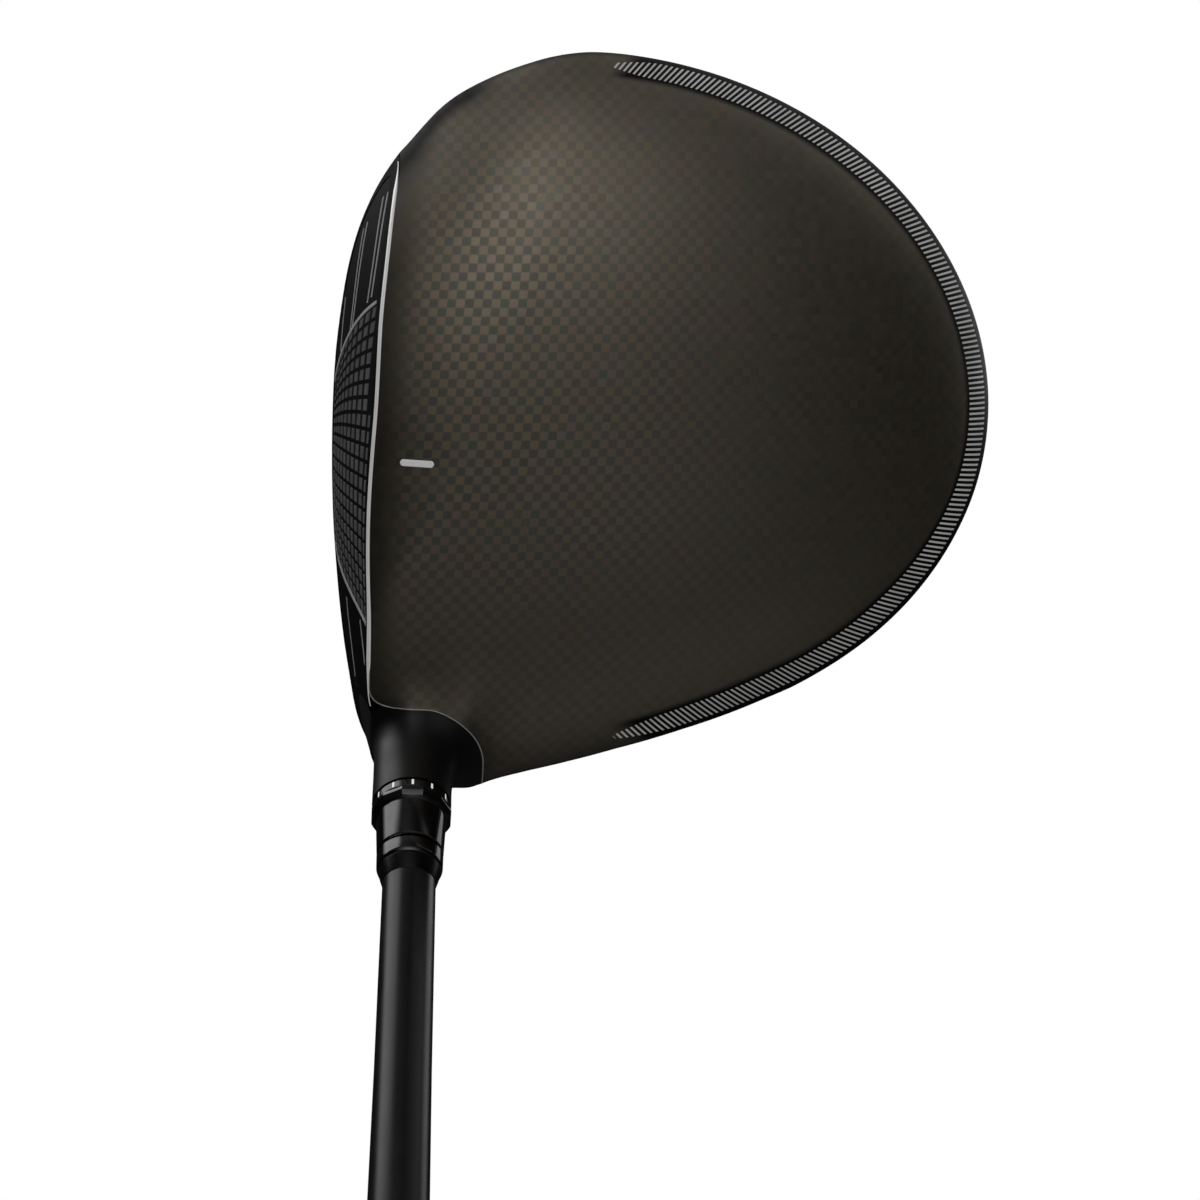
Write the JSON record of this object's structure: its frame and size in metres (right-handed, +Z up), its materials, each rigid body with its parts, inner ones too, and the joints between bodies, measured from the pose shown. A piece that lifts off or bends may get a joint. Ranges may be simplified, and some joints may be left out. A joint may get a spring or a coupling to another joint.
{
  "type": "golf driver",
  "caption": "Right-handed golf driver: hollow carbon and titanium head, loft-adjusting sleeve held by a bolt, rear screw weight, tapered graphite shaft and rubber grip.",
  "frame": {"origin": "middle of the flat pad on the sole, club resting at address", "axes": "+Z up; -Y is the target side, the way the face looks; +X is the heel side, towards the hands; the shaft leans 58 degrees from the ground towards +X in the XZ plane"},
  "size_m": [0.7143, 0.1184, 0.9913],
  "materials": {
    "shaft": "black graphite lacquer, satin",
    "shaft_tip_plug": "cork-coloured plug",
    "loft_sleeve": "black anodised",
    "index_marks": "white paint fill",
    "ferrule_ring": "gloss black",
    "ferrule": "satin black",
    "grip_tape": "paper tape",
    "grip": "moulded rubber with a fine pattern",
    "grip_cap": "smooth rubber",
    "body_frame": "satin black over cast titanium",
    "crown_panel": "dark bronze carbon weave under satin lacquer",
    "sole_panel": "carbon weave under gloss lacquer",
    "rear_ring": "satin black",
    "face_plate": "layered carbon",
    "face_cover": "textured black film",
    "sole_slot_insert": "thermoplastic urethane",
    "sole_pad": "brushed",
    "hosel_tube": "machined titanium",
    "alignment_mark": "light grey paint",
    "weight_port": "machined titanium",
    "sole_ribs": "as cast",
    "bolt_washer": "plain",
    "hosel_bolt": "dark titanium",
    "bolt_retainer": "spring steel",
    "rear_weight": "tungsten alloy, satin",
    "weight_gasket": "rubber",
    "rear_weight_screw": "dark steel"
  },
  "bodies": {
    "shaft_assembly": {"shaft": "shaft", "shaft_tip_plug": "shaft_tip_plug", "loft_sleeve": "loft_sleeve", "index_marks": "index_marks", "ferrule_ring": "ferrule_ring", "ferrule": "ferrule", "grip_tape": "grip_tape", "grip": "grip", "grip_cap": "grip_cap"},
    "bolt_washer": {"bolt_washer": "bolt_washer"},
    "head": {"body_frame": "body_frame", "crown_panel": "crown_panel", "sole_panel": "sole_panel", "rear_ring": "rear_ring", "face_plate": "face_plate", "face_cover": "face_cover", "sole_slot_insert": "sole_slot_insert", "sole_pad": "sole_pad", "hosel_tube": "hosel_tube", "alignment_mark": "alignment_mark", "weight_port": "weight_port", "sole_ribs": "sole_ribs"},
    "hosel_bolt": {"hosel_bolt": "hosel_bolt", "bolt_retainer": "bolt_retainer"},
    "rear_weight": {"rear_weight": "rear_weight", "weight_gasket": "weight_gasket"},
    "rear_weight_screw": {"rear_weight_screw": "rear_weight_screw"}
  },
  "joints": [
    {"name": "head_pull_off", "type": "slide", "parent": "shaft_assembly", "child": "bolt_washer", "axis": [-0.5075, 0, -0.8616], "range_m": [0, 0.036]},
    {"name": "loft_index", "type": "hinge", "parent": "bolt_washer", "child": "head", "pos_m": [0.05697, -0.018, 0.05597], "axis": [0.5075, 0, 0.8616], "continuous": true},
    {"name": "hosel_bolt_turn", "type": "hinge", "parent": "head", "child": "hosel_bolt", "pos_m": [0.05697, -0.018, 0.05597], "axis": [0.5075, 0, 0.8616], "continuous": true},
    {"name": "weight_travel", "type": "slide", "parent": "head", "child": "rear_weight", "axis": [0, 0.4067, -0.9135], "range_m": [0, 0.0056]},
    {"name": "weight_screw_turn", "type": "hinge", "parent": "rear_weight", "child": "rear_weight_screw", "pos_m": [-0.004, 0.062, 0.0096], "axis": [0, 0.4067, -0.9135], "range_deg": [0, 2880]}
  ],
  "couplings": [
    {"joint": "weight_screw_turn", "follows": "weight_travel", "rad_per_m": 8976}
  ]
}
